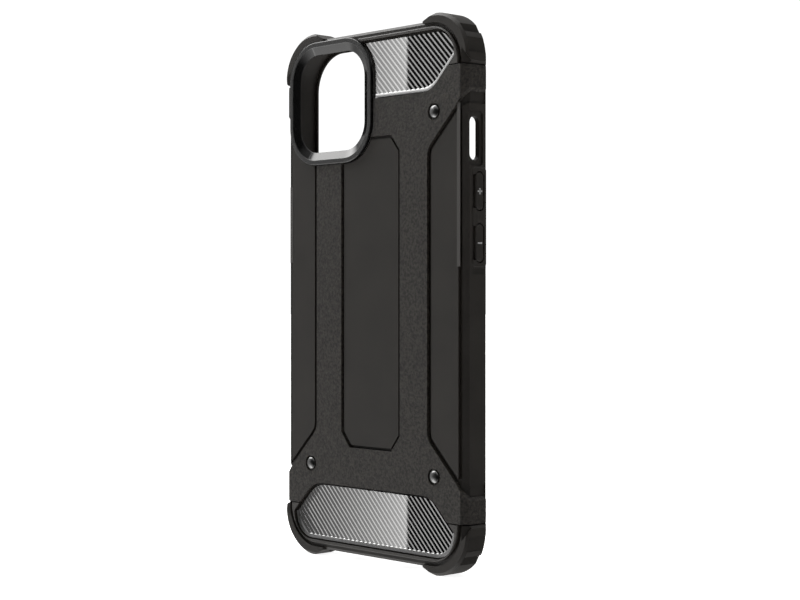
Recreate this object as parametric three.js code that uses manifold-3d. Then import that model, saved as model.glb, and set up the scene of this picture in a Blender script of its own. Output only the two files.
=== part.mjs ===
// Two-layer rugged case for a 6.1 inch phone.
// A soft inner sleeve wraps the phone, and a hard armour plate is snapped over its back.
//
// Millimetres. The case stands upright: +Z runs up its length, +X points to the side with the
// volume buttons, the back (camera side) faces -Y and the open front faces +Y.
// The origin is the centre of the case's bounding box.

import * as THREE from 'three';
import { mergeVertices } from 'three/addons/utils/BufferGeometryUtils.js';
import Module from 'manifold-3d';

const wasm = await Module();
wasm.setup();

// ---------------------------------------------------------------- driving dimensions

const phone = { width: 71.5, length: 146.7, thickness: 7.65, cornerRadius: 12.4 };

const clearance = {
  phone: 0.1, // all round the phone, which the soft sleeve grips
  seat: 0.3, // between a fitted piece and its pocket
  slide: 0.3, // round a button in its window
};

const wall = {
  side: 2.1, // soft wall beside and above the phone
  floor: 1.0, // soft floor behind the phone
  lip: 0.55, // how far the front lip stands over the screen
  lipReach: 1.1, // how far the front lip reaches in over the screen's edge
  backChamfer: 1.8,
  frontChamfer: 1.9,
};

// Places along the length are measured in from the flat end of the rail, and places across from
// its side, so that they keep their distance to the corners.

const armour = {
  thickness: 1.0,
  flange: 0.7, // thickness of the arm ends that wrap the side walls
  sideProud: 0.35, // how far an arm end stands out from the rail
  frontMargin: 2.1, // the arm ends stop this far short of the front face
  seamFromEnd: 13.25, // the arms' outer seams
  edgeFromEnd: 19.65, // where an arm's lower edge reaches the side wall
  kneeFromEnd: 24.1, // where that edge turns into the diagonal
  kneeFromSide: 2.95,
  waistFromSide: 14.4, // width of the smooth wings at mid-height
  barWidth: 11.1, // the two long bars
  waistRadius: 5,
};

// The smooth centre panel and wings stand up inside the plate's windows, behind a groove.
const panel = {
  recess: 0.35, // below the armour plate's face
  groove: 0.85, // width of the groove round the centre panel
  wingGroove: 1.25, // and round the wings
  wingEdgeFromEnd: 21.95, // where a wing's groove reaches the side wall
  topFromEnd: 30.55,
  bottomFromEnd: 31.05,
  cutX: 3.6,
  cutZ: 4.5,
};

const band = {
  fromSide: 2.5,
  fromEnd: 1.8,
  recess: 0.1,
  cornerRadius: 10.7,
  chamfer: 0.3,
  groove: 1.1, // width of the channel between the band and the corner bumpers
  grooveDepth: 1.3, // below the armour plate's face
};

const bumper = {
  sideProud: 1.0,
  endProud: 1.9,
  recess: 0.45, // below the armour plate's face
  rampFromSide: 16.65,
  crestFromSide: 12.15, // where the outline is furthest out at the ends
  cornerRadius: 13,
  innerRadius: 9,
  seamGap: 0.4, // to the armour's arms
  step: 0.7,
  depth: 3.2, // how far a corner bumper reaches in under the band
  frontMargin: 0.4,
  backChamfer: 0.8,
  frontChamfer: 2.4,
  facet: { fromSide: 1.5, fromSeam: 4.2, depth: 1.9 }, // sloped corner of its back face by the seam
};

const inset = {
  fromSide: 4.2,
  fromEnd: 3.05,
  innerFromEnd: 19.55, // its edge next to the armour plate
  tipFromEnd: 10.55, // where the diagonals meet the sides
  outerRadius: 7.3,
  innerRadius: 9,
  thickness: 0.6,
  recess: 0.7, // below the armour plate's face
};

const ring = {
  fromSide: 2.95,
  fromEnd: 1.1,
  width: 36.3,
  cornerRadius: 11.8,
  proud: 0.9, // above the armour plate
  height: 1.25,
  rim: 1.45, // flat top of the ring
  bevel: 2.2,
  bevelDrop: 0.95,
  edgeChamfer: 0.2,
  seatWidth: 1.65, // width of the plate's collar under the ring
  collar: 0.4,
};

const rivet = {
  fromSide: 11.7,
  fromEnd: 25.35,
  headRadius: 1.75,
  dome: 0.5,
  headRim: 0.2,
  shankRadius: 1.0,
  shankInSleeve: 0.35,
  boreRadius: 2.4,
  boreDepth: 0.6,
};

const button = {
  width: 3.0,
  proud: 0.25, // above the rail
  flangeMargin: 0.8,
  flange: 0.6,
  flangeSeat: 0.2, // from the phone-side wall face to the flange
  chamfer: 0.25,
};

const pad = { proud: 0.2, width: 5.4, cornerRadius: 1, margin: 1.35, powerMargin: 2.0 };
const padNotch = { gap: 0.4, length: 1.5, depth: 0.5, toBack: 2.6 }; // crosswise, next to a pad's end
const keySlot = { width: 1.1, depth: 0.7 }; // shallow slot along the back of a key's window
const volumeKeys = { length: 10.3, upFromEnd: 47.55, gap: 3.8 };
const powerKey = { length: 22.1, fromEnd: 54.7 };

const muteSlot = { fromEnd: 33.15, length: 12, width: 3.8, towardsBack: 1.3 };
const muteRecess = { depth: 0.55, margin: 1.5, sideMargin: 0.85, cornerRadius: 1 };

const port = { width: 13.4, height: 6.2 };
const speaker = { x: 18.5, width: 11, height: 3.0 };

const grip = { recess: 0.85, backMargin: 0.7, frontMargin: 1.0, spansFromEnd: [[9.95, 5.8], [4.3, 1.4]] };

const arcSegments = 8;
const turnSegments = 24; // round the rivets and their bores
const domeSteps = 4;
const fullRound = 0.97; // share of half a slot's width that its round ends take

// ---------------------------------------------------------------- derived levels and sizes

const cavityHalfWidth = phone.width / 2 + clearance.phone;
const cavityHalfLength = phone.length / 2 + clearance.phone;
const cavityDepth = phone.thickness + clearance.phone;
const railHalfWidth = cavityHalfWidth + wall.side;
const railHalfLength = cavityHalfLength + wall.side;
const railRadius = phone.cornerRadius + wall.side;

const totalDepth = wall.lip + cavityDepth + wall.floor + armour.thickness + ring.proud;
const frontY = totalDepth / 2;
const lipY = frontY - wall.lip;
const seatY = lipY - cavityDepth; // the floor that the phone's back rests on
const underPlateY = seatY - wall.floor; // back of the sleeve under the armour plate
const plateY = underPlateY - armour.thickness; // outer face of the armour plate
const panelY = plateY + panel.recess; // outer face of the smooth panels
const ringY = -frontY;
const keyY = (lipY + seatY) / 2;
const insetY = plateY + inset.recess;
const beyond = 20; // cutting solids run this far past what they cut

const armTop = railHalfLength - armour.seamFromEnd;
const waist = railHalfWidth - armour.waistFromSide;
const ringX = -(railHalfWidth - ring.fromSide - ring.width / 2);
const ringZ = railHalfLength - ring.fromEnd - ring.width / 2;
const volumeUpZ = railHalfLength - volumeKeys.upFromEnd;
const volumeDownZ = volumeUpZ - volumeKeys.length - volumeKeys.gap;
const powerZ = railHalfLength - powerKey.fromEnd;
const muteZ = railHalfLength - muteSlot.fromEnd;

// ---------------------------------------------------------------- shapes

/** A closed outline of straight edges through [x, z, radius] corners, each rounded by its radius. */
function outline(corners) {
  const shape = new THREE.Shape();
  const count = corners.length;
  corners.forEach(([x, z, radius = 0], i) => {
    const here = new THREE.Vector2(x, z);
    const [beforeX, beforeZ] = corners[(i + count - 1) % count];
    const [afterX, afterZ] = corners[(i + 1) % count];
    const toBefore = new THREE.Vector2(beforeX, beforeZ).sub(here).normalize();
    const toAfter = new THREE.Vector2(afterX, afterZ).sub(here).normalize();
    const halfAngle = Math.acos(THREE.MathUtils.clamp(toBefore.dot(toAfter), -1, 1)) / 2;
    if (radius === 0) {
      if (i === 0) shape.moveTo(x, z);
      else shape.lineTo(x, z);
      return;
    }
    const tangent = radius / Math.tan(halfAngle);
    const start = here.clone().addScaledVector(toBefore, tangent);
    const middle = toBefore.clone().add(toAfter).normalize();
    const centre = here.clone().addScaledVector(middle, radius / Math.sin(halfAngle));
    const end = here.clone().addScaledVector(toAfter, tangent);
    const from = Math.atan2(start.y - centre.y, start.x - centre.x);
    const to = Math.atan2(end.y - centre.y, end.x - centre.x);
    const clockwise = toBefore.cross(toAfter) > 0;
    if (i === 0) shape.moveTo(start.x, start.y);
    else shape.lineTo(start.x, start.y);
    shape.absarc(centre.x, centre.y, radius, from, to, clockwise);
  });
  shape.closePath();
  return shape;
}

/** The corners of a rectangle about (x, z), each with the same radius. */
function rectangle(halfWidth, halfLength, radius = 0, x = 0, z = 0) {
  const signs = [[1, -1], [1, 1], [-1, 1], [-1, -1]];
  return signs.map(([signX, signZ]) => [x + signX * halfWidth, z + signZ * halfLength, radius]);
}

/** The same corners moved outwards by a distance, with their radii following. */
function grow(corners, distance) {
  const count = corners.length;
  const area = corners.reduce((sum, [x, z], i) => {
    const [nextX, nextZ] = corners[(i + 1) % count];
    return sum + x * nextZ - nextX * z;
  }, 0);
  const turn = Math.sign(area);
  const normal = (from, to) => {
    const along = new THREE.Vector2(to[0] - from[0], to[1] - from[1]).normalize();
    return new THREE.Vector2(along.y * turn, -along.x * turn);
  };
  return corners.map((corner, i) => {
    const before = normal(corners[(i + count - 1) % count], corner);
    const after = normal(corner, corners[(i + 1) % count]);
    const miter = before.clone().add(after);
    miter.multiplyScalar(distance / (1 + before.dot(after)));
    const bulges = before.cross(after) * turn > 0;
    const radius = corner[2] ? Math.max(corner[2] + (bulges ? distance : -distance), 0) : 0;
    return [corner[0] + miter.x, corner[1] + miter.y, radius];
  });
}

/** Mirror an outline's corners across mid-width or mid-height. */
function mirrored(corners, signX, signZ) {
  const moved = corners.map(([x, z, radius]) => [signX * x, signZ * z, radius]);
  return signX * signZ < 0 ? moved.reverse() : moved;
}

/** A closed geometry as a solid that can be joined and cut. */
function solid(geometry) {
  const bare = geometry.index ? geometry.toNonIndexed() : geometry.clone();
  bare.deleteAttribute('normal');
  bare.deleteAttribute('uv');
  const merged = mergeVertices(bare, 1e-4);
  return new wasm.Manifold(new wasm.Mesh({
    numProp: 3,
    vertProperties: Float32Array.from(merged.attributes.position.array),
    triVerts: Uint32Array.from(merged.index.array),
  }));
}

/** Corners in the XZ plane as a solid between two Y levels; its rims slope in by chamfer over chamferY. */
function slab(corners, fromY, toY, chamfer = 0, chamferY = chamfer) {
  const geometry = new THREE.ExtrudeGeometry(outline(corners), {
    depth: toY - fromY - 2 * chamferY,
    curveSegments: arcSegments,
    bevelEnabled: chamfer > 0,
    bevelThickness: chamferY,
    bevelSize: chamfer,
    bevelOffset: -chamfer,
    bevelSegments: 1,
  });
  geometry.rotateX(Math.PI / 2);
  geometry.translate(0, toY - chamferY, 0);
  return solid(geometry);
}

/** A box given by its lowest and highest corners. */
function block(low, high) {
  const size = high.map((value, i) => value - low[i]);
  const geometry = new THREE.BoxGeometry(...size);
  geometry.translate(...low.map((value, i) => value + size[i] / 2));
  return solid(geometry);
}

/** A rounded bar that runs along X between two depths, its section centred on (y, z). */
function sideBar(fromX, toX, y, z, width, length, radius, chamfer = 0) {
  const geometry = new THREE.ExtrudeGeometry(outline(rectangle(width / 2, length / 2, radius)), {
    depth: toX - fromX - 2 * chamfer,
    curveSegments: arcSegments,
    bevelEnabled: chamfer > 0,
    bevelThickness: chamfer,
    bevelSize: chamfer,
    bevelOffset: -chamfer,
    bevelSegments: 1,
  });
  geometry.rotateX(Math.PI / 2);
  geometry.rotateZ(Math.PI / 2);
  geometry.translate(fromX + chamfer, y, z);
  return solid(geometry);
}

/** A turned solid about the Y axis from [radius, y] points that start and end on the axis. */
function turned(points, x, z) {
  const profile = points.map(([radius, y]) => new THREE.Vector2(radius, y));
  const geometry = new THREE.LatheGeometry(profile, turnSegments);
  geometry.translate(x, 0, z);
  return solid(geometry);
}

function joined(solids) {
  return solids.reduce((whole, next) => whole.add(next));
}

/** A body with one chamfer on its back rim and another on its front rim. */
function railBody(corners, backY, toY, backChamfer, frontChamfer) {
  const fromBack = slab(corners, backY, toY + beyond, backChamfer);
  const fromFront = slab(corners, backY - beyond, toY, frontChamfer);
  return fromBack.intersect(fromFront);
}

// ---------------------------------------------------------------- outlines

const railCorners = rectangle(railHalfWidth, railHalfLength, railRadius);
const bandCorners = rectangle(
  railHalfWidth - band.fromSide,
  railHalfLength - band.fromEnd,
  band.cornerRadius,
);
const cavityCorners = rectangle(cavityHalfWidth, cavityHalfLength, phone.cornerRadius);
const ringCorners = rectangle(ring.width / 2, ring.width / 2, ring.cornerRadius, ringX, ringZ);
const envelopeCorners = rectangle(
  railHalfWidth + bumper.sideProud,
  railHalfLength + bumper.endProud,
  bumper.cornerRadius,
);
const ringHole = grow(ringCorners, -(ring.rim + ring.bevel));

/** Outline of the inset that lies next to one end band: end is 1 for the top and -1 for the bottom. */
function insetCorners(end) {
  const halfWidth = railHalfWidth - inset.fromSide;
  const outer = railHalfLength - inset.fromEnd;
  const inner = railHalfLength - inset.innerFromEnd;
  const tip = railHalfLength - inset.tipFromEnd;
  const bend = halfWidth - (tip - inner);
  const corners = [
    [-bend, inner, inset.innerRadius],
    [bend, inner, inset.innerRadius],
    [halfWidth, tip],
    [halfWidth, outer, inset.outerRadius],
    [-halfWidth, outer, inset.outerRadius],
    [-halfWidth, tip],
  ];
  return mirrored(corners, 1, end);
}

/** Outline of the opening between the arms on one side, which reaches the side wall at edgeFromEnd. */
function wingCorners(side, edgeFromEnd) {
  const far = railHalfWidth + beyond;
  const edgeX = railHalfWidth + armour.sideProud;
  const edgeZ = railHalfLength - edgeFromEnd;
  const kneeX = railHalfWidth - armour.kneeFromSide;
  const kneeZ = railHalfLength - armour.kneeFromEnd;
  const waistEnd = kneeZ - (kneeX - waist);
  const corners = [
    [waist, -waistEnd, armour.waistRadius],
    [kneeX, -kneeZ],
    [edgeX, -edgeZ],
    [far, -edgeZ],
    [far, edgeZ],
    [edgeX, edgeZ],
    [kneeX, kneeZ],
    [waist, waistEnd, armour.waistRadius],
  ];
  return mirrored(corners, side, 1);
}

/** Outline of the smooth centre panel, with its four corners cut off. */
function panelCorners() {
  const halfWidth = waist - armour.barWidth;
  const top = railHalfLength - panel.topFromEnd;
  const bottom = panel.bottomFromEnd - railHalfLength;
  const { cutX, cutZ } = panel;
  return [
    [halfWidth - cutX, bottom],
    [halfWidth, bottom + cutZ],
    [halfWidth, top - cutZ],
    [halfWidth - cutX, top],
    [-halfWidth + cutX, top],
    [-halfWidth, top - cutZ],
    [-halfWidth, bottom + cutZ],
    [-halfWidth + cutX, bottom],
  ];
}

/** Outline of the corner bumper on one side at one end. */
function bumperCorners(side, end) {
  const outerX = railHalfWidth + bumper.sideProud;
  const outerZ = railHalfLength + bumper.endProud;
  const innerX = railHalfWidth - bumper.depth;
  const innerZ = railHalfLength - bumper.depth;
  const sideEnd = armTop + bumper.seamGap;
  const rampX = railHalfWidth - bumper.rampFromSide;
  const crestX = railHalfWidth - bumper.crestFromSide;
  const corners = [
    [innerX, sideEnd],
    [outerX - bumper.step, sideEnd],
    [outerX, sideEnd + bumper.step],
    [outerX, outerZ, bumper.cornerRadius],
    [crestX, outerZ],
    [rampX, railHalfLength],
    [rampX, innerZ],
    [innerX, innerZ, bumper.innerRadius],
  ];
  return mirrored(corners, side, end);
}

const ends = [1, -1];
const sides = [1, -1];
const fourCorners = sides.flatMap((side) => ends.map((end) => [side, end]));

// ---------------------------------------------------------------- armour plate

/** The plate's two layers without its windows; gap is the clearance of the pocket it seats in. */
function armourShell(gap) {
  const outer = grow(railCorners, armour.sideProud);
  const inner = grow(railCorners, armour.sideProud - armour.flange - gap);
  const endY = frontY - armour.frontMargin + gap;
  const shell = slab(outer, plateY, endY + beyond, wall.backChamfer);
  const core = slab(inner, underPlateY + gap, endY + 2 * beyond, wall.backChamfer);
  const spanX = railHalfWidth + beyond;
  const span = block([-spanX, plateY - beyond, -armTop - gap], [spanX, endY, armTop + gap]);
  return shell.subtract(core).intersect(span);
}

/** Cuts of the plate's outline: end insets, wings and centre panel. */
function armourWindows() {
  const cuts = ends.map((end) => grow(insetCorners(end), clearance.seat));
  cuts.push(...sides.map((side) => wingCorners(side, armour.edgeFromEnd)), panelCorners());
  return joined(cuts.map((corners) => slab(corners, plateY - beyond, frontY + beyond)));
}

/** What stands up inside those windows on the sleeve: the inset pockets' rims, wings and centre panel. */
function raisedPanels() {
  const wings = sides.map((side) => grow(wingCorners(side, panel.wingEdgeFromEnd), -panel.wingGroove));
  const panels = [...ends.map(insetCorners), ...wings, grow(panelCorners(), -panel.groove)];
  return joined(panels.map((corners) => slab(corners, plateY - beyond, frontY + beyond)));
}

function armourPlate() {
  const collarY = underPlateY - ring.collar;
  const collarCorners = grow(ringCorners, -clearance.seat);
  const opening = grow(ringCorners, -ring.seatWidth);
  let plate = armourShell(0).subtract(armourWindows());
  plate = plate.subtract(slab(grow(ringCorners, clearance.seat), plateY - beyond, collarY));
  plate = plate.add(slab(collarCorners, collarY, underPlateY));
  plate = plate.subtract(slab(opening, plateY - beyond, seatY));
  for (const [x, z] of rivetPlaces()) {
    plate = plate.subtract(rivetBore(x, z));
  }
  return plate;
}

// ---------------------------------------------------------------- rivets

function rivetPlaces() {
  const x = railHalfWidth - rivet.fromSide;
  const z = railHalfLength - rivet.fromEnd;
  return [[x, z], [-x, -z], [x, -z]];
}

/** The counterbore for the head and the hole for the shank, down into the sleeve. */
function rivetBore(x, z) {
  const holeRadius = rivet.shankRadius + clearance.seat;
  const boreY = plateY + rivet.boreDepth;
  const endY = underPlateY + clearance.seat + rivet.shankInSleeve;
  return turned([
    [0, plateY - beyond],
    [rivet.boreRadius, plateY - beyond],
    [rivet.boreRadius, boreY],
    [holeRadius, boreY],
    [holeRadius, endY],
    [0, endY],
  ], x, z);
}

function rivetBody(x, z) {
  const underHead = plateY + rivet.boreDepth - clearance.seat;
  const rimY = underHead - rivet.headRim;
  const endY = underPlateY + rivet.shankInSleeve;
  const steps = Array.from({ length: domeSteps }, (_, i) => {
    const angle = ((domeSteps - 1 - i) / domeSteps) * (Math.PI / 2);
    return [rivet.headRadius * Math.cos(angle), rimY - rivet.dome * Math.sin(angle)];
  });
  return turned([
    [0, rimY - rivet.dome],
    ...steps,
    [rivet.headRadius, underHead],
    [rivet.shankRadius, underHead],
    [rivet.shankRadius, endY],
    [0, endY],
  ], x, z);
}

// ---------------------------------------------------------------- camera ring and insets

function cameraRing() {
  const baseY = ringY + ring.height;
  const body = slab(ringCorners, ringY, baseY + ring.edgeChamfer, ring.edgeChamfer)
    .intersect(slab(grow(ringCorners, ring.edgeChamfer), ringY - beyond, baseY));
  const mouth = grow(ringHole, ring.bevel);
  const funnel = slab(mouth, ringY - beyond, ringY + ring.bevelDrop, ring.bevel, ring.bevelDrop);
  return body.subtract(funnel).subtract(slab(ringHole, ringY - beyond, baseY + beyond));
}

function insetPiece(end) {
  return slab(insetCorners(end), insetY, insetY + inset.thickness);
}

/** The upper inset stops at the camera ring, which covers its other half. */
function upperInset() {
  const covered = slab(grow(ringCorners, clearance.seat), plateY - beyond, seatY);
  const behindRing = block([-beyond - railHalfWidth, plateY - beyond, 0], [ringX, seatY, railHalfLength]);
  return insetPiece(1).subtract(covered).subtract(behindRing);
}

// ---------------------------------------------------------------- buttons

/** A button for the wall at side (1 or -1): a cap in the window and a flange behind the wall. */
function buttonBody(side, z, length) {
  const flangeX = cavityHalfWidth + button.flangeSeat;
  const capX = railHalfWidth + button.proud;
  const radius = fullRound * (button.width / 2);
  const cap = sideBar(flangeX, capX, keyY, z, button.width, length, radius, button.chamfer);
  const margin = 2 * button.flangeMargin;
  const flangeEnd = flangeX + button.flange;
  const flange = sideBar(flangeX, flangeEnd, keyY, z, button.width + margin, length + margin, radius);
  const body = cap.add(flange);
  return side > 0 ? body : body.mirror([1, 0, 0]);
}

/** The stepped window that a button moves in, open to the phone's side. */
function buttonWindow(side, z, length) {
  const fromX = cavityHalfWidth - wall.side;
  const width = button.width + 2 * clearance.slide;
  const windowLength = length + 2 * clearance.slide;
  const radius = fullRound * (width / 2);
  const opening = sideBar(fromX, railHalfWidth + beyond, keyY, z, width, windowLength, radius);
  const margin = 2 * button.flangeMargin;
  const seatX = cavityHalfWidth + button.flangeSeat + button.flange + clearance.slide;
  const seat = sideBar(fromX, seatX, keyY, z, width + margin, windowLength + margin, radius);
  const body = opening.add(seat);
  return side > 0 ? body : body.mirror([1, 0, 0]);
}

// ---------------------------------------------------------------- inner sleeve

/** Raised pad round the buttons, on the wall at side. */
function buttonPad(side, fromZ, toZ) {
  const outer = railHalfWidth + pad.proud;
  const middle = (fromZ + toZ) / 2;
  const length = toZ - fromZ;
  const body = sideBar(cavityHalfWidth, outer, keyY, middle, pad.width, length, pad.cornerRadius, pad.proud);
  return side > 0 ? body : body.mirror([1, 0, 0]);
}

/** How far out the corner bumper's side reaches at height z, where its corner rounds off. */
function bumperReach(z) {
  const centreX = railHalfWidth + bumper.sideProud - bumper.cornerRadius;
  const centreZ = railHalfLength + bumper.endProud - bumper.cornerRadius;
  const above = Math.max(z - centreZ, 0);
  return centreX + Math.sqrt(bumper.cornerRadius ** 2 - above ** 2);
}

/** The two finger-grip recesses in the outer side of a corner bumper. */
function gripRecesses(side, end) {
  return grip.spansFromEnd.map(([lowFromEnd, highFromEnd]) => {
    const fromZ = railHalfLength - lowFromEnd;
    const toZ = railHalfLength - highFromEnd;
    const surface = bumperReach((fromZ + toZ) / 2);
    const low = [surface - grip.recess, plateY + bumper.recess + grip.backMargin, fromZ];
    let cut = block(low, [surface + beyond, frontY - bumper.frontMargin - grip.frontMargin, toZ]);
    if (side < 0) cut = cut.mirror([1, 0, 0]);
    if (end < 0) cut = cut.mirror([0, 0, 1]);
    return cut;
  });
}

/** The wedge cut off a corner bumper's back face, between the band's channel and the seam. */
function bumperFacet(side, end) {
  const { fromSide, fromSeam, depth } = bumper.facet;
  const faceY = plateY + bumper.recess;
  const seamZ = armTop + bumper.seamGap;
  const innerX = railHalfWidth - fromSide;
  const outerX = railHalfWidth + bumper.sideProud;
  const low = [innerX, faceY, seamZ];
  const high = [innerX, faceY, seamZ + fromSeam];
  const deep = [outerX, faceY + depth, seamZ];
  const above = [low, high, deep].map(([x, y, z]) => [x, y - beyond, z]);
  const past = [faceY + depth, faceY - beyond].map((y) => [outerX + beyond, y, seamZ - beyond]);
  let cut = wasm.Manifold.hull([low, high, deep, ...above, ...past]);
  if (side < 0) cut = cut.mirror([1, 0, 0]);
  if (end < 0) cut = cut.mirror([0, 0, 1]);
  return cut;
}

/** The notch across the side wall next to the end of a pad: towards is 1 above it and -1 below. */
function crossNotch(side, padEndZ, towards) {
  const nearZ = padEndZ + towards * padNotch.gap;
  const farZ = nearZ + towards * padNotch.length;
  const low = [railHalfWidth - padNotch.depth, keyY - padNotch.toBack, Math.min(nearZ, farZ)];
  const cut = block(low, [railHalfWidth + beyond, frontY + beyond, Math.max(nearZ, farZ)]);
  return side > 0 ? cut : cut.mirror([1, 0, 0]);
}

/** The shallow slot in the pad along the back of a key's window. */
function keyBackSlot(side, z, length) {
  const windowBackY = keyY - button.width / 2 - clearance.slide;
  const outer = railHalfWidth + pad.proud;
  const half = length / 2 - keySlot.width / 2;
  const low = [outer - keySlot.depth, windowBackY - keySlot.width, z - half];
  const cut = block(low, [outer + beyond, keyY, z + half]);
  return side > 0 ? cut : cut.mirror([1, 0, 0]);
}

/** The mute switch's slot and the shallow recess round it. */
function muteCut() {
  const far = railHalfWidth + beyond;
  const floorX = railHalfWidth - muteRecess.depth;
  const width = muteSlot.width + 2 * muteRecess.sideMargin;
  const length = muteSlot.length + 2 * muteRecess.margin;
  const y = keyY - muteSlot.towardsBack;
  const recess = sideBar(floorX, far, y, muteZ, width, length, muteRecess.cornerRadius);
  const radius = fullRound * (muteSlot.width / 2);
  const fromX = cavityHalfWidth - wall.side;
  return recess.add(sideBar(fromX, far, y, muteZ, muteSlot.width, muteSlot.length, radius));
}

/** Charging-port and speaker openings through the bottom wall. */
function bottomOpenings() {
  const fromZ = -railHalfLength - beyond;
  const toZ = -cavityHalfLength + wall.side;
  const places = [[0, port], [speaker.x, speaker], [-speaker.x, speaker]];
  return joined(places.map(([x, { width, height }]) => {
    const corners = rectangle(width / 2, height / 2, fullRound * (height / 2));
    const settings = { depth: toZ - fromZ, bevelEnabled: false, curveSegments: arcSegments };
    const geometry = new THREE.ExtrudeGeometry(outline(corners), settings);
    geometry.translate(x, keyY, fromZ);
    return solid(geometry);
  }));
}

function innerSleeve() {
  let sleeve = railBody(railCorners, panelY, frontY, wall.backChamfer, wall.frontChamfer);
  const bandY = plateY + band.recess;
  sleeve = sleeve.add(slab(bandCorners, bandY, seatY, band.chamfer));
  const fromY = plateY + bumper.recess;
  const toY = frontY - bumper.frontMargin;
  const { backChamfer, frontChamfer } = bumper;
  const envelope = railBody(envelopeCorners, fromY, toY, backChamfer, frontChamfer);
  for (const [side, end] of fourCorners) {
    const corners = bumperCorners(side, end);
    sleeve = sleeve.add(slab(corners, fromY, toY).intersect(envelope));
    for (const cut of [...gripRecesses(side, end), bumperFacet(side, end)]) {
      sleeve = sleeve.subtract(cut);
    }
  }
  const channel = slab(grow(bandCorners, band.groove), bandY - beyond, plateY + band.grooveDepth);
  sleeve = sleeve.subtract(channel.subtract(slab(bandCorners, bandY - 2 * beyond, frontY)));
  const volumeReach = volumeKeys.length / 2 + pad.margin;
  const powerReach = powerKey.length / 2 + pad.powerMargin;
  sleeve = sleeve.add(buttonPad(1, volumeDownZ - volumeReach, volumeUpZ + volumeReach));
  sleeve = sleeve.add(buttonPad(-1, powerZ - powerReach, powerZ + powerReach));
  sleeve = sleeve.subtract(joined([
    crossNotch(1, volumeDownZ - volumeReach, -1),
    crossNotch(-1, powerZ - powerReach, -1),
    crossNotch(-1, powerZ + powerReach, 1),
    keyBackSlot(1, volumeUpZ, volumeKeys.length),
    keyBackSlot(1, volumeDownZ, volumeKeys.length),
    keyBackSlot(-1, powerZ, powerKey.length),
  ]));

  const spanX = railHalfWidth + beyond;
  const raised = block([-spanX, bandY - beyond, -armTop], [spanX, panelY, armTop]);
  sleeve = sleeve.subtract(raised);
  sleeve = sleeve.subtract(armourShell(clearance.seat).subtract(raisedPanels()));
  for (const end of ends) {
    const pocketY = insetY + inset.thickness + clearance.seat;
    sleeve = sleeve.subtract(slab(grow(insetCorners(end), clearance.seat), bandY - beyond, pocketY));
  }
  const ringSeatY = underPlateY + clearance.seat;
  sleeve = sleeve.subtract(slab(grow(ringCorners, clearance.seat), bandY - beyond, ringSeatY));
  sleeve = sleeve.subtract(slab(grow(ringCorners, -ring.seatWidth), bandY - beyond, seatY + wall.floor));
  for (const [x, z] of rivetPlaces()) {
    sleeve = sleeve.subtract(rivetBore(x, z));
  }

  const mouth = grow(cavityCorners, -wall.lipReach);
  sleeve = sleeve.subtract(slab(cavityCorners, seatY, lipY));
  sleeve = sleeve.subtract(slab(mouth, lipY - wall.lip, frontY + beyond));
  sleeve = sleeve.subtract(buttonWindow(1, volumeUpZ, volumeKeys.length));
  sleeve = sleeve.subtract(buttonWindow(1, volumeDownZ, volumeKeys.length));
  sleeve = sleeve.subtract(buttonWindow(-1, powerZ, powerKey.length));
  sleeve = sleeve.subtract(muteCut());
  return sleeve.subtract(bottomOpenings());
}

// ---------------------------------------------------------------- scene graph

const soft = { color: 0x363532, roughness: 0.75, metalness: 0 };
const hard = { color: 0x3b3a37, roughness: 0.6, metalness: 0 };
const glossy = { color: 0x2a2a2a, roughness: 0.2, metalness: 0 };
const metal = { color: 0x4a4a4a, roughness: 0.3, metalness: 0.8 };

/** A solid as a named mesh with its own material. */
function named(name, body, look) {
  const { vertProperties, triVerts, numProp } = body.getMesh();
  const geometry = new THREE.BufferGeometry();
  const positions = new Float32Array((vertProperties.length / numProp) * 3);
  for (let i = 0; i < positions.length / 3; i += 1) {
    positions.set(vertProperties.subarray(i * numProp, i * numProp + 3), 3 * i);
  }
  geometry.setAttribute('position', new THREE.BufferAttribute(positions, 3));
  geometry.setIndex(new THREE.BufferAttribute(Uint32Array.from(triVerts), 1));
  geometry.computeVertexNormals();
  const mesh = new THREE.Mesh(geometry, new THREE.MeshStandardMaterial(look));
  mesh.name = name;
  return mesh;
}

const phoneCase = new THREE.Group();
phoneCase.name = 'phone_case';
phoneCase.add(named('inner_sleeve', innerSleeve(), soft));
phoneCase.add(named('armor_plate', armourPlate(), hard));
phoneCase.add(named('camera_ring', cameraRing(), glossy));
phoneCase.add(named('upper_inset', upperInset(), glossy));
phoneCase.add(named('lower_inset', insetPiece(-1), glossy));
const rivetNames = ['rivet_upper_right', 'rivet_lower_left', 'rivet_lower_right'];
rivetPlaces().forEach(([x, z], i) => phoneCase.add(named(rivetNames[i], rivetBody(x, z), metal)));
phoneCase.add(named('volume_up_button', buttonBody(1, volumeUpZ, volumeKeys.length), soft));
phoneCase.add(named('volume_down_button', buttonBody(1, volumeDownZ, volumeKeys.length), soft));
phoneCase.add(named('power_button', buttonBody(-1, powerZ, powerKey.length), soft));

export default phoneCase;
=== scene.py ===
"""Looks of the two-layer phone case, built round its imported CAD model."""

import math

import bmesh
import bpy
import numpy as np
from mathutils import Matrix, Vector


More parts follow.
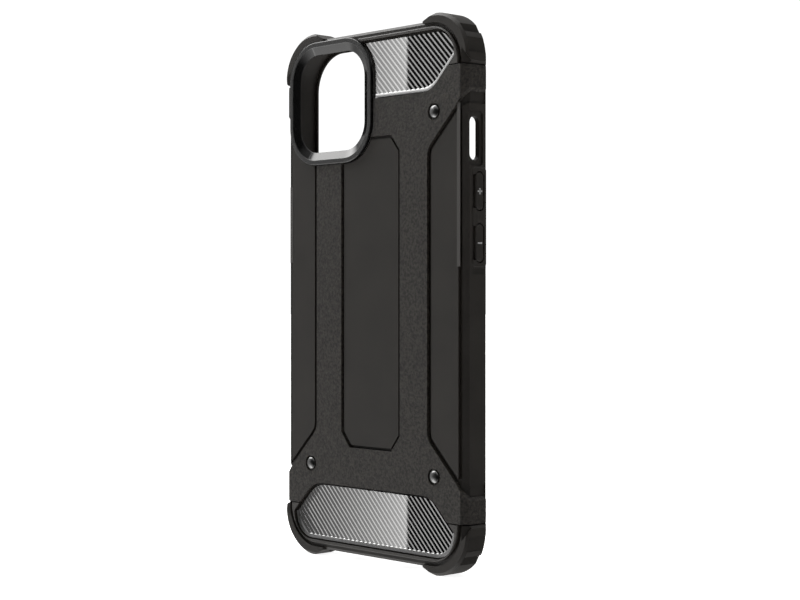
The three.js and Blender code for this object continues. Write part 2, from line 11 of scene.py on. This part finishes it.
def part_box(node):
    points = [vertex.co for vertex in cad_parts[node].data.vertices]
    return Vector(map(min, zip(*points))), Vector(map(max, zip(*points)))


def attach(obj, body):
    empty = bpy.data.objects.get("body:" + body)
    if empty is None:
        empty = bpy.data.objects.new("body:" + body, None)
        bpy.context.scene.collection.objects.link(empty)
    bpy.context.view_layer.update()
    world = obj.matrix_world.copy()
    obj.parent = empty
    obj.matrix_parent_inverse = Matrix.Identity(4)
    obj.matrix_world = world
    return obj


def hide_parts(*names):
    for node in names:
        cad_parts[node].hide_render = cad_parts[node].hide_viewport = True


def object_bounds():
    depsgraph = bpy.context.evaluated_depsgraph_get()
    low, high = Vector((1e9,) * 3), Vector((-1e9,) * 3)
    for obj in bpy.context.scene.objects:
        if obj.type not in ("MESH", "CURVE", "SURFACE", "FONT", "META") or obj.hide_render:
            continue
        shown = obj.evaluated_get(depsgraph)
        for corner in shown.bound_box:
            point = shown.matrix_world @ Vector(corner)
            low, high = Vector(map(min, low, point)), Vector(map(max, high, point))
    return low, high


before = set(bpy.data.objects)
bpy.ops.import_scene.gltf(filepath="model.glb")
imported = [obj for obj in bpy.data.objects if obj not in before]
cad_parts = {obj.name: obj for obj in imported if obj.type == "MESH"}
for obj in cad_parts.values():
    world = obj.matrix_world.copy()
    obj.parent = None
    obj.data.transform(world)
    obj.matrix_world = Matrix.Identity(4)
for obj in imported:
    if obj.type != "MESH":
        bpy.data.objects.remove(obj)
cad_low, cad_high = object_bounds()
MM = 0.001


# ------------------------------------------------------------------ shader arithmetic


class Value:
    """A shader socket in sums: each operator adds one Math node and gives its output."""

    def __init__(self, tree, socket):
        self.tree = tree
        self.socket = socket

    def math(self, operation, *inputs):
        node = self.tree.nodes.new("ShaderNodeMath")
        node.operation = operation
        for slot, given in zip(node.inputs, inputs):
            if isinstance(given, Value):
                self.tree.links.new(given.socket, slot)
            else:
                slot.default_value = given
        return Value(self.tree, node.outputs[0])

    def __add__(self, other):
        return self.math("ADD", self, other)

    def __sub__(self, other):
        return self.math("SUBTRACT", self, other)

    def __rsub__(self, other):
        return self.math("SUBTRACT", other, self)

    def __mul__(self, other):
        return self.math("MULTIPLY", self, other)

    def __truediv__(self, other):
        return self.math("DIVIDE", self, other)

    __radd__ = __add__
    __rmul__ = __mul__

    def most(self, other):
        return self.math("MAXIMUM", self, other)

    def ramp(self, start, end):
        """0 below start, 1 above end, and a straight rise between them."""
        node = self.math("SUBTRACT", self, start) / (end - start)
        node.socket.node.use_clamp = True
        return node


class Finish:
    """A material's node tree, with its Principled shader and helpers that add nodes."""

    def __init__(self, name):
        self.material = bpy.data.materials.new(name)
        self.material.use_nodes = True
        self.tree = self.material.node_tree
        self.shader = self.tree.nodes["Principled BSDF"]

    def node(self, kind, settings=None, output=0, **inputs):
        """Adds a node: its settings first, then the values or links of its sockets."""
        made = self.tree.nodes.new(kind)
        for key, value in (settings or {}).items():
            setattr(made, key, value)
        for key, value in inputs.items():
            self.put(made.inputs[key.replace("_", " ")], value)
        return Value(self.tree, made.outputs[output])

    def put(self, slot, value):
        if isinstance(value, Value):
            self.tree.links.new(value.socket, slot)
        else:
            slot.default_value = value

    def set(self, **inputs):
        for key, value in inputs.items():
            self.put(self.shader.inputs[key.replace("_", " ")], value)

    def place(self):
        return self.node("ShaderNodeTexCoord", output="Object")

    def noise(self, size, detail=2.0, roughness=0.5):
        """Noise whose features are about this many millimetres across, from 0 to 1."""
        return self.node(
            "ShaderNodeTexNoise",
            Vector=self.place(),
            Scale=1.0 / (size * MM),
            Detail=detail,
            Roughness=roughness,
        )

    def attribute(self, name):
        return self.node("ShaderNodeAttribute", {"attribute_name": name}, output="Fac")

    def blend(self, factor, first, second):
        """A colour between two, by a factor from 0 to 1."""
        mix = self.tree.nodes.new("ShaderNodeMix")
        mix.data_type = "RGBA"
        self.put(mix.inputs[0], factor)
        self.put(mix.inputs[6], first)
        self.put(mix.inputs[7], second)
        return Value(self.tree, mix.outputs[2])

    def depth(self, start):
        """How far forward of start, in millimetres on the y axis, a place on the surface is."""
        return self.node("ShaderNodeSeparateXYZ", output=1, Vector=self.place()) / MM - start

    def bump(self, height, depth):
        """Surface relief: height from 0 to 1 stands for this many millimetres."""
        return self.node("ShaderNodeBump", Height=height, Distance=depth * MM, Strength=1.0)


def grey(level, warmth=0.0):
    """A neutral or slightly warm dark colour, as linear RGBA."""
    return (level * (1 + warmth), level, level * (1 - warmth), 1.0)


# What a mesh's edge attribute says of a face: rounded-over edge, raised strip (painted paler, a
# painted highlight) or key mark.
ROUNDING, STRIP, MARK = 1.0, 2.0, 3.0


def soft_rubber(name, proud_y, level=0.0105, roughness=0.5):
    """Satin moulded rubber: fine moulding grain, cloudy sheen, edges worn smooth and paler.
    Raised strips are painted paler still as a painted highlight, and whatever lies further back
    than proud_y is painted paler as a painted sheen; the marks on the keys are light grey."""
    f = Finish(name)
    grain = f.noise(0.16, 3.0)
    cloud = f.noise(9.0, 3.0)
    edge = f.attribute("edge")
    # paler on worn edges (edge wear, masked by noise) and paler in full on raised strips, where the
    # paleness is a painted highlight
    worn = edge * f.noise(1.6, 3.0).ramp(0.35, 0.7) * 0.5 + edge.ramp(1.2, 1.8)
    # painted sheen: parts standing proud of proud_y are painted paler
    proud = 1 - f.depth(proud_y).ramp(-0.03, 0.0)
    shade = f.blend(cloud.ramp(0.3, 0.7), grey(level * 0.86, 0.2), grey(level * 1.14, 0.2))
    # one paler grey carries edge wear, the strips' painted highlight and the proud parts' painted
    # sheen
    wear_and_painted_sheen = f.blend(worn.most(proud * 0.8), shade, grey(level * 3.6, 0.06))
    f.set(
        Base_Color=f.blend(edge.ramp(2.2, 2.8), wear_and_painted_sheen, grey(level * 20)),
        Roughness=roughness - 0.05 + 0.08 * cloud + 0.04 * grain - 0.06 * edge.ramp(0.0, 1.0),
        Normal=f.bump(grain, 0.006),
        Specular_IOR_Level=0.42,
    )
    return f.material


def textured_plate(name):
    """Spark-eroded hard plastic: millimetre mottling over sharp fine pits."""
    f = Finish(name)
    pits = f.noise(0.75, 3.0, roughness=0.6)
    mottle = f.noise(2.2, 3.0)
    speck = pits.ramp(0.36, 0.66)
    worn = f.attribute("edge") * f.noise(1.2, 2.0).ramp(0.3, 0.65)
    level = 0.0125
    shade = f.blend(speck * 0.75 + mottle * 0.25, grey(level * 0.25, 0.18), grey(level * 1.9, 0.18))
    f.set(
        Base_Color=f.blend(worn * 0.5, shade, grey(level * 2.6, 0.05)),
        Roughness=0.62 - 0.26 * speck + 0.06 * mottle,
        Normal=f.bump(pits, 0.15),
        Specular_IOR_Level=0.42,
    )
    return f.material


def polished(name, level, roughness, metallic=0.0):
    """Hard gloss with faint hairline marks and an uneven polish."""
    f = Finish(name)
    haze = f.noise(6.0, 4.0)
    marks = f.noise(0.35, 5.0)
    f.set(
        Base_Color=f.blend(haze.ramp(0.3, 0.7), grey(level * 0.92), grey(level * 1.08)),
        Roughness=roughness * (0.8 + 0.25 * haze + 0.15 * marks),
        Normal=f.bump(marks, 0.006 * roughness),
        Metallic=metallic,
    )
    return f.material


def gloss_ring(name, rim_y):
    """Gloss black with a satin rim: the rim is whatever lies within 0.05 mm of rim_y."""
    f = Finish(name)
    haze = f.noise(6.0, 4.0)
    rim = 1 - f.depth(rim_y).ramp(0.05, 0.1)
    f.set(
        Base_Color=f.blend(rim, grey(0.003), grey(0.026)),
        Roughness=0.045 + 0.03 * haze + 0.2 * rim,
        Normal=f.bump(f.noise(0.35, 5.0), 0.0006),
    )
    return f.material


def clear_coated_foil(name):
    """Dark chrome ribs under a flat clear cover, with a satin border (part = 1) left bare."""
    f = Finish(name)
    haze = f.noise(6.0, 4.0)
    border = f.attribute("part")
    chrome = f.blend(haze.ramp(0.3, 0.7), grey(0.62), grey(0.7))
    # the cover is flat, so it mirrors along the case's back and not along the ribs
    flat = f.node(
        "ShaderNodeVectorTransform",
        {"vector_type": "NORMAL", "convert_from": "OBJECT", "convert_to": "WORLD"},
        Vector=(0.0, -1.0, 0.0),
    )
    f.set(
        Base_Color=f.blend(border, chrome, grey(0.36)),
        Roughness=0.02 + 0.02 * haze + 0.3 * border,
        Metallic=1.0,
        Coat_Weight=1 - border,
        Coat_Roughness=0.01,
        Coat_IOR=2.2,
        Coat_Normal=flat,
    )
    return f.material


# ------------------------------------------------------------------ pieces


def link_mesh(mesh, name, angle=32):
    """The mesh as an object in the scene, shaded smooth except over corners sharper than angle."""
    mesh.polygons.foreach_set("use_smooth", np.ones(len(mesh.polygons), bool))
    mesh.set_sharp_from_angle(angle=math.radians(angle))
    made = bpy.data.objects.new(name, mesh)
    bpy.context.scene.collection.objects.link(made)
    weighted = made.modifiers.new("even normals", "WEIGHTED_NORMAL")
    weighted.keep_sharp = True
    weighted.weight = 80
    return made


WELD = 0.002  # corners this near each other, in millimetres, are one
FLAT = 0.4  # degrees by which facets of one flat face may differ


def rounded_copy(node, name, width, bars=(), kind=STRIP, angle=24.0):
    """The CAD node's solid with its facets joined into whole faces and every sharp edge
    rounded over by width millimetres. Bars, given by their low and high corners in
    millimetres, stand on it. The edge attribute is ROUNDING on roundings and kind on bars."""
    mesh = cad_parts[node].data.copy()
    mesh.materials.clear()
    mesh.name = name
    work = bmesh.new()
    work.from_mesh(mesh)
    edge = work.faces.layers.float.new("edge")
    bmesh.ops.remove_doubles(work, verts=work.verts, dist=WELD * MM)
    bmesh.ops.dissolve_limit(
        work, angle_limit=math.radians(FLAT), verts=work.verts, edges=work.edges
    )
    sharp = [e for e in work.edges if e.is_manifold and e.calc_face_angle() > math.radians(angle)]
    made = bmesh.ops.bevel(
        work,
        geom=sharp,
        offset=width * MM,
        offset_type="OFFSET",
        segments=2,
        profile=0.5,
        affect="EDGES",
        clamp_overlap=True,
        loop_slide=True,
    )
    for face in made["faces"]:
        face[edge] = ROUNDING
    bmesh.ops.triangulate(work, faces=[f for f in work.faces if len(f.verts) > 4])
    for low, high in bars:
        low, high = Vector(low) * MM, Vector(high) * MM
        place = Matrix.Translation((low + high) / 2) @ Matrix.Diagonal([*(high - low), 1.0])
        corners = bmesh.ops.create_cube(work, size=1.0, matrix=place)["verts"]
        for face in {f for v in corners for f in v.link_faces}:
            face[edge] = kind
    work.to_mesh(mesh)
    work.free()
    return link_mesh(mesh, name)


# ------------------------------------------------------------------ surfaces from grids


def rounded_outline(corners, step=7.5):
    """Points round a polygon whose corners (x, z, radius) are arcs. An arc's points lie at its
    centre plus radius times (cos, sin) of equal turns of about step degrees."""
    corner = np.array([c[:2] for c in corners], float)
    radius = np.array([c[2] for c in corners], float)
    back = np.roll(corner, 1, 0) - corner
    ahead = np.roll(corner, -1, 0) - corner
    back /= np.linalg.norm(back, axis=1)[:, None]
    ahead /= np.linalg.norm(ahead, axis=1)[:, None]
    half = np.arccos(np.clip((back * ahead).sum(1), -1, 1)) / 2
    parts = []
    for c, r, b, a, h in zip(corner, radius, back, ahead, half):
        if r == 0:
            parts.append(c[None])
            continue
        middle = (a + b) / np.linalg.norm(a + b)
        centre = c + middle * r / math.sin(h)
        start, end = c + b * r / math.tan(h) - centre, c + a * r / math.tan(h) - centre
        turn = math.atan2(start[0] * end[1] - start[1] * end[0], start @ end)
        count = max(2, int(math.ceil(abs(math.degrees(turn)) / step)))
        at = np.linspace(0, turn, count + 1)
        parts.append(
            centre
            + np.outer(np.cos(at), start)
            + np.outer(np.sin(at), [-start[1], start[0]])
        )
    return np.concatenate(parts)


def swept(line, section, closed=True):
    """A grid of points: the section's (inset, y) pairs carried along the line's (x, z) points.
    A point lies at the line's point minus inset times the outward normal, mitred at corners."""
    line = np.asarray(line, float)
    section = np.asarray(section, float)
    if closed:
        before, after = line - np.roll(line, 1, 0), np.roll(line, -1, 0) - line
        area = (line[:, 0] * np.roll(line[:, 1], -1) - np.roll(line[:, 0], -1) * line[:, 1]).sum()
        side = math.copysign(1.0, area)
    else:
        steps = np.diff(line, axis=0)
        before, after = np.vstack([steps[:1], steps]), np.vstack([steps, steps[-1:]])
        side = 1.0
    before /= np.linalg.norm(before, axis=1)[:, None]
    after /= np.linalg.norm(after, axis=1)[:, None]
    out_before = side * np.stack([before[:, 1], -before[:, 0]], 1)
    out_after = side * np.stack([after[:, 1], -after[:, 0]], 1)
    mitre = (out_before + out_after) / (1 + (out_before * out_after).sum(1))[:, None]
    grid = np.empty((len(line), len(section), 3))
    grid[:, :, 0] = line[:, None, 0] - section[None, :, 0] * mitre[:, None, 0]
    grid[:, :, 2] = line[:, None, 1] - section[None, :, 0] * mitre[:, None, 1]
    grid[:, :, 1] = section[None, :, 1]
    return grid


def grid_faces(rows, columns, loops):
    """Quads between neighbouring points of a rows by columns grid whose columns close on
    themselves; with loops, so do its rows."""
    i = np.arange(rows if loops else rows - 1)[:, None]
    j = np.arange(columns)[None, :]
    next_i, next_j = (i + 1) % rows, (j + 1) % columns
    near, far = i * columns, next_i * columns
    quads = np.stack(np.broadcast_arrays(near + j, far + j, far + next_j, near + next_j), -1)
    return quads.reshape(-1, 4)


def solid_mesh(name, grids):
    """One mesh from closed surfaces, each (grid, loops round its rows). Every grid's columns
    close on themselves, and a grid whose rows don't loop is closed by a face at each end.
    A surface whose volume comes out negative is turned the right way round. The part
    attribute counts the surfaces from 0."""
    points, faces = [], []
    first = 0
    for grid, loops in grids:
        rows, columns = grid.shape[:2]
        flat = grid.reshape(-1, 3)
        quads = grid_faces(rows, columns, loops).tolist()
        if not loops:
            quads.append(list(range(columns))[::-1])
            quads.append([(rows - 1) * columns + j for j in range(columns)])
        corners = [(q[0], q[k], q[k + 1]) for q in quads for k in range(1, len(q) - 1)]
        volume = sum(flat[a] @ np.cross(flat[b], flat[c]) for a, b, c in corners)
        if volume < 0:
            quads = [q[::-1] for q in quads]
        points.append(flat)
        faces += [[first + v for v in q] for q in quads]
        first += len(flat)
    mesh = bpy.data.meshes.new(name)
    mesh.from_pydata((np.concatenate(points) * MM).tolist(), [], faces)
    part = mesh.attributes.new("part", "FLOAT", "POINT")
    counts = [len(p) for p in points]
    part.data.foreach_set("value", np.repeat(np.arange(float(len(points))), counts))
    mesh.validate()
    return mesh


def arc(centre, radius, start, end, count=5):
    """Points of a section's rounding: centre plus radius times (cos, sin) of even turns."""
    at = np.radians(np.linspace(start, end, count))
    return np.stack([centre[0] + radius * np.cos(at), centre[1] + radius * np.sin(at)], 1).tolist()


def box_mm(node):
    """The CAD node's lowest and highest corners in millimetres."""
    low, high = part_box(node)
    return np.array(low) / MM, np.array(high) / MM


# ------------------------------------------------------------------ camera ring


RING_CORNER = 11.8
RING_RIM = 1.45
RING_SLOPE = 2.2
RING_DROP = 0.95  # how far the slope falls towards the opening
RING_SOFT = 0.28  # radius of the rim's outer edge
RING_FOOT = 0.2  # chamfer where the ring meets the plate


def camera_ring():
    """The ring's section carried round a rounded square: a flat rim, a straight slope down to
    the opening, and roundings between them."""
    low, high = box_mm("camera_ring")
    corners = [(low[0], low[2]), (high[0], low[2]), (high[0], high[2]), (low[0], high[2])]
    outline = rounded_outline([(x, z, RING_CORNER) for x, z in corners], 5)
    top, base = low[1], high[1]
    rim, slope, drop, soft = RING_RIM, RING_SLOPE, RING_DROP, RING_SOFT
    section = [[RING_FOOT, base], [0.0, base - RING_FOOT]]
    section += arc((soft, top + soft), soft, 180, 270)
    section += [[rim - 0.3, top], [rim - 0.12, top + 0.012], [rim, top + 0.06]]
    section += [[rim + slope * 0.04, top + 0.12], [rim + slope, top + drop]]
    section += [[rim + slope + 0.06, top + drop + 0.06], [rim + slope + 0.06, base]]
    return solid_mesh("camera_ring_gloss", [(swept(outline, section), True)])


# ------------------------------------------------------------------ ribbed insets

RIB_PITCH = 1.312
RIB_SLOPE = 0.6  # width of the slope that faces the lower left
RIB_DEPTH = 0.2
RIB_BELOW_RIM = 0.14
RIB_FROM_EDGE = 0.4
RIB_FROM_RING = 0.32
INSET_DIAGONAL = 9.0  # how far the cut corners run, across and along
INSET_INNER_RADIUS = 9.0
INSET_OUTER_RADIUS = 7.3
TINY = 1e-6


def rib_lines(outline, keep_out=None):
    """Rib edges over a convex outline, as (height, start, end) rows. A line lies at a constant
    x + z and runs from upper left to lower right. Depths repeat over each pitch: a slope up
    from the lower left and a slope back down."""
    across = (outline[:, 0] + outline[:, 1]) / math.sqrt(2)
    along = (outline[:, 0] - outline[:, 1]) / math.sqrt(2)
    low, high = across.min() + 0.02, across.max() - 0.02
    offsets = np.array([0.0, RIB_SLOPE])
    depths = np.array([RIB_DEPTH, 0.0])
    turns = np.arange(math.floor(low / RIB_PITCH), math.ceil(high / RIB_PITCH) + 1)
    at = (turns[:, None] * RIB_PITCH + offsets).ravel()
    depth = np.tile(depths, len(turns))
    inside = (at > low) & (at < high)
    at = np.concatenate([[low], at[inside], [high]])
    depth = np.concatenate([[RIB_DEPTH], depth[inside], [RIB_DEPTH]])
    a, b = across, np.roll(across, -1)
    p, q = along, np.roll(along, -1)
    crosses = (a[None] - at[:, None]) * (b[None] - at[:, None]) <= 0
    gap = np.where(np.abs(b - a) < 1e-9, 1e-9, b - a)
    where = p[None] + (at[:, None] - a[None]) / gap[None] * (q - p)[None]
    start = np.where(crosses, where, np.inf).min(1)
    end = np.where(crosses, where, -np.inf).max(1)
    if keep_out is not None:
        start = np.maximum(start, keep_out(at))
    good = end - start > 0.05
    return at[good], depth[good], start[good], end[good]


def ribbed_slab(outline, top, base, keep_out=None):
    """A closed slab whose upper face is ruled: each rib edge is one row of the grid, with its
    two ends on the upper face and the same two on the base."""
    at, depth, start, end = rib_lines(outline, keep_out)
    grid = np.empty((len(at), 4, 3))
    for column, (reach, y) in enumerate(
        [(start, top + depth), (end, top + depth), (end, base + 0 * at), (start, base + 0 * at)]
    ):
        grid[:, column, 0] = (at + reach) / math.sqrt(2)
        grid[:, column, 1] = y
        grid[:, column, 2] = (at - reach) / math.sqrt(2)
    return grid


def inset_rim(top, base, width=1.3):
    """The section of an inset's border: a wall, a round crest and a long fall inwards."""
    return (
        [[0.0, base]]
        + [[0.0, top + 0.16], [0.05, top + 0.05], [0.16, top], [0.3, top + 0.01]]
        + [[0.6, top + 0.06], [0.9, top + 0.12], [1.1, top + 0.19], [width, top + 0.4]]
        + [[width, base]]
    )


def inset_corners(end):
    """The inset's outline, counter-clockwise, at the top (1) or bottom (-1) of the case."""
    low, high = box_mm("lower_inset")
    half, outer, inner = high[0], -low[2], -high[2]
    tip, bend = inner + INSET_DIAGONAL, half - INSET_DIAGONAL
    corners = [
        (-bend, inner, INSET_INNER_RADIUS),
        (bend, inner, INSET_INNER_RADIUS),
        (half, tip, 0),
        (half, outer, INSET_OUTER_RADIUS),
        (-half, outer, INSET_OUTER_RADIUS),
        (-half, tip, 0),
    ]
    return corners if end > 0 else [(x, -z, r) for x, z, r in corners][::-1]


def lower_inset():
    """The lower inset: a ribbed slab with a border from tip to tip along its lower side."""
    low, high = box_mm("lower_inset")
    top, base = low[1], high[1]
    outline = rounded_outline(inset_corners(-1))
    inner = swept(outline, [(RIB_FROM_EDGE, 0.0)])[:, 0, ::2]
    slab = ribbed_slab(inner, top + RIB_BELOW_RIM, base)
    below_tips = outline[:, 1] <= outline[0, 1] + TINY
    rim = swept(outline[below_tips], inset_rim(top, base), closed=False)
    return solid_mesh("lower_inset_ribbed", [(slab, False), (rim, False)])


def beside_ring(gap):
    """For rib lines: how far along each the camera ring's outline, grown by gap, reaches.
    A line at x + z = const leaves the rounded square at its right side or round corner."""
    low, high = box_mm("camera_ring")
    radius = RING_CORNER + gap
    centre = np.array([high[0] - RING_CORNER, high[2] - RING_CORNER])
    right = high[0] + gap

    def reach(at):
        off = at - (centre[0] + centre[1]) / math.sqrt(2)
        half_chord = np.sqrt(np.maximum(radius**2 - off**2, 0))
        round_end = (centre[0] - centre[1]) / math.sqrt(2) + half_chord
        round_end = np.where(np.abs(off) < radius, round_end, -np.inf)
        flat_end = math.sqrt(2) * right - at
        height = (at - flat_end) / math.sqrt(2)
        return np.where(height < centre[1], flat_end, round_end)

    return reach


def upper_inset():
    """The upper inset: ribs up to the camera ring, and a border along its lower side from the
    ring to the right tip."""
    low, high = box_mm("upper_inset")
    top, base = low[1], high[1]
    ring_high = box_mm("camera_ring")[1]
    outline = rounded_outline(inset_corners(1))
    inner = swept(outline, [(RIB_FROM_EDGE, 0.0)])[:, 0, ::2]
    slab = ribbed_slab(inner, top + RIB_BELOW_RIM, base, beside_ring(RIB_FROM_RING))
    side = ring_high[0] + RIB_FROM_RING
    start = np.array([[side, outline[:, 1].min()]])
    tip = inset_corners(1)[2][1]
    keep = (outline[:, 1] <= tip + TINY) & (outline[:, 0] > side)
    line = np.vstack([start, outline[keep]])
    rim = swept(line, inset_rim(top, base), closed=False)
    return solid_mesh("upper_inset_ribbed", [(slab, False), (rim, False)])


# ------------------------------------------------------------------ rivets


RIVET_DOME = 0.62
RIVET_EDGE = 0.04  # height of the head's upright edge
RIVET_SHANK = 1.0
RIVET_TIP = 0.1  # chamfer at the shank's end


def rivet(node, name):
    """A turned rivet: its profile of (radius, y) pairs carried round its own axis. The head is
    a low dome, and the shank goes down into the sleeve."""
    low, high = box_mm(node)
    x, z = (low[0] + high[0]) / 2, (low[2] + high[2]) / 2
    top, end = low[1], high[1]
    head = (high[0] - low[0]) / 2
    turn = np.radians(np.linspace(88, 0, 12))
    dome = np.stack([head * np.cos(turn), top + RIVET_DOME * (1 - np.sin(turn))], 1)
    edge = top + RIVET_DOME + RIVET_EDGE
    seat = edge + RIVET_EDGE
    under = [[head, edge], [head - 0.05, seat], [RIVET_SHANK, seat]]
    shank = [[RIVET_SHANK, end - RIVET_TIP], [RIVET_SHANK - RIVET_TIP, end], [0.02, end]]
    profile = np.vstack([dome, under, shank])
    around = np.radians(np.arange(0, 360, 7.5))
    grid = np.empty((len(profile), len(around), 3))
    grid[:, :, 0] = x + profile[:, None, 0] * np.cos(around)
    grid[:, :, 1] = profile[:, None, 1]
    grid[:, :, 2] = z + profile[:, None, 0] * np.sin(around)
    return solid_mesh(name, [(grid, False)])


def finish_piece(piece, material, body, node):
    """Gives the piece its finish and its CAD body, and lets it stand for its CAD node."""
    piece.data.materials.clear()
    piece.data.materials.append(material)
    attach(piece, body)
    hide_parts(node)


def bar(centre, size):
    """Low and high corners of a bar, from its centre and size in millimetres."""
    centre, size = np.array(centre), np.array(size)
    return centre - size / 2, centre + size / 2


PLATE_BACK = box_mm("armor_plate")[0][1]
PANEL_DEPTH = 0.35  # of the sleeve's panels below the plate's back face
BAND_DEPTH = 0.2  # a depth between the end bands and the panels
STRIP_X, STRIP_WIDTH = 35.55, 1.2
STROKE, STROKE_WIDTH = 1.7, 0.42
PROUD = 0.1  # thickness of a strip or mark, half of it sunk


def painted_highlight_strips():
    """Raised strips along the back's two side edges, painted paler as a painted highlight: the
    right one runs further up and down.
    """
    y = PLATE_BACK + PANEL_DEPTH
    right = bar((STRIP_X, y, 29.7), (STRIP_WIDTH, PROUD, 44.4))
    left = bar((-STRIP_X, y, 20.8), (STRIP_WIDTH, PROUD, 22.8))
    return [right, left]


def key_marks(node):
    """A plus on the upper volume key and a minus on the lower one."""
    low, high = box_mm(node)
    middle = (low + high) / 2
    place = (high[0], middle[1], middle[2])
    minus = bar(place, (PROUD, STROKE, STROKE_WIDTH))
    upright = bar(place, (PROUD, STROKE_WIDTH, STROKE))
    return [minus, upright] if node == "volume_up_button" else [minus]


RUBBER = soft_rubber("satin rubber", PLATE_BACK + BAND_DEPTH)
PLATE = textured_plate("textured armour plastic")
GLOSS = gloss_ring("gloss black ring", box_mm("camera_ring")[0][1])
FOIL = clear_coated_foil("dark chrome inset")
STEEL = polished("blackened rivet", 0.2, 0.3, 1.0)

# the sleeve's raised strips are painted paler, a painted highlight
finish_piece(
    rounded_copy("inner_sleeve", "sleeve_soft_shell", 0.16, painted_highlight_strips()),
    RUBBER, "case", "inner_sleeve",
)
finish_piece(
    rounded_copy("armor_plate", "armour_hard_plate", 0.14),
    PLATE, "case", "armor_plate",
)
for body in ("volume_up", "volume_down", "power"):
    node = body + "_button"
    bars = [] if body == "power" else key_marks(node)
    key = rounded_copy(node, body + "_key", 0.14, bars, MARK)
    finish_piece(key, RUBBER, body, node)

ring = link_mesh(camera_ring(), "camera_ring_gloss", 50)
ring.visible_glossy = False  # so that the ribs next to it keep their shine
finish_piece(ring, GLOSS, "case", "camera_ring")
for node, mesh in (("upper_inset", upper_inset()), ("lower_inset", lower_inset())):
    finish_piece(link_mesh(mesh, node + "_ribbed", 12), FOIL, "case", node)
for corner in ("upper_right", "lower_left", "lower_right"):
    node, name = "rivet_" + corner, "rivet_head_" + corner
    finish_piece(link_mesh(rivet(node, name), name, 40), STEEL, "case", node)


# ------------------------------------------------------------------ camera, floor and light


def world_light():
    """A white studio: the camera sees white, and the case sees soft panels round it. Turn and
    height are a direction's degrees round and up, and each panel is a range of them."""
    world = bpy.data.worlds.new("studio")
    bpy.context.scene.world = world
    world.use_nodes = True
    tree = world.node_tree
    tree.nodes.clear()

    def node(kind, **settings):
        made = tree.nodes.new(kind)
        for key, value in settings.items():
            setattr(made, key, value)
        return made

    split = node("ShaderNodeSeparateXYZ")
    place_in_sky = node("ShaderNodeTexCoord")
    tree.links.new(place_in_sky.outputs["Generated"], split.inputs[0])
    x, y, z = (Value(tree, split.outputs[i]) for i in range(3))
    # angle round from straight behind the case's back towards its left, in degrees
    turn = x.math("ARCTAN2", x * -1.0, y * -1.0) * math.degrees(1)
    height = z.math("ARCSINE", z) * math.degrees(1)
    # a narrow softbox with one crisp edge, which draws the line across both insets
    falloff = 1 - turn.ramp(46.75, 50.6)
    softbox = turn.ramp(46.72, 46.8) * (0.08 + 0.32 * falloff + 0.6 * falloff * falloff)
    softbox = softbox * (1 - turn.ramp(51.5, 53.0))
    # walls on both sides, the left one brighter
    left_wall = turn.ramp(51.0, 66.0) * (1 - turn.ramp(120.0, 150.0))
    right_wall = (turn * -1.0).ramp(75.0, 95.0)
    # ceiling and ground, brightest where the ring's slopes mirror them
    far_left = turn.ramp(50.0, 56.0) * (1 - turn.ramp(90.0, 110.0))
    depth = height * -1.0
    near_left = turn.ramp(15.0, 55.0) * (1 - turn.ramp(62.0, 72.0))
    top = height.ramp(28.0, 38.0) * 0.6 + height.ramp(20.0, 26.0) * far_left * 6.4
    low = depth.ramp(30.0, 40.0) * 0.4 + depth.ramp(10.0, 28.0) * near_left * 3.6
    sides = softbox * 2.4 + left_wall * 0.62 + right_wall * 0.16
    level = 0.008 + sides + top + low
    light = node("ShaderNodeBackground")
    light.inputs["Color"].default_value = (1.0, 0.995, 0.985, 1)
    tree.links.new(level.socket, light.inputs["Strength"])
    backdrop = node("ShaderNodeBackground")
    backdrop.inputs["Strength"].default_value = 1.1
    backdrop.inputs["Color"].default_value = (1, 1, 1, 1)
    rays = node("ShaderNodeLightPath")
    chosen = node("ShaderNodeMixShader")
    tree.links.new(rays.outputs["Is Camera Ray"], chosen.inputs[0])
    tree.links.new(light.outputs[0], chosen.inputs[1])
    tree.links.new(backdrop.outputs[0], chosen.inputs[2])
    out = node("ShaderNodeOutputWorld")
    tree.links.new(chosen.outputs[0], out.inputs["Surface"])


FLOOR_RADIUS = 6.0


def white_floor(z):
    """A round white floor under the case. Its rim's points lie at the radius times (cos, sin)
    of even turns. The insets don't mirror it."""
    f = Finish("white floor")
    f.set(Base_Color=(0.9, 0.9, 0.9, 1), Roughness=0.9)
    f.set(Emission_Color=(1, 1, 1, 1), Emission_Strength=0.9)
    turns = np.linspace(0, 2 * math.pi, 97)[:-1]
    x, y = FLOOR_RADIUS * np.cos(turns), FLOOR_RADIUS * np.sin(turns)
    rim = np.stack([x, y, np.full(len(turns), z)], 1)
    mesh = bpy.data.meshes.new("floor")
    mesh.from_pydata(rim.tolist(), [], [list(range(len(turns)))])
    mesh.materials.append(f.material)
    made = bpy.data.objects.new("floor", mesh)
    bpy.context.scene.collection.objects.link(made)
    made.visible_glossy = False


def set_camera():
    """Level camera 47 degrees round from the back, 470 mm from the case."""
    data = bpy.data.cameras.new("camera")
    data.sensor_width = 36.0
    data.lens = 75.4
    data.shift_y = -0.00725
    data.clip_start, data.clip_end = 0.01, 50.0
    made = bpy.data.objects.new("camera", data)
    bpy.context.scene.collection.objects.link(made)
    bpy.context.scene.camera = made
    angle, distance = math.radians(47.0), 0.47
    aim = Vector((12.65, -4.7, 0.0)) * MM
    back = Vector((math.sin(angle), -math.cos(angle), 0.0))
    made.location = aim + back * distance
    made.rotation_euler = back.to_track_quat("Z", "Y").to_euler()


bpy.context.scene.view_settings.view_transform = "Standard"
set_camera()
world_light()
white_floor(cad_low.z)
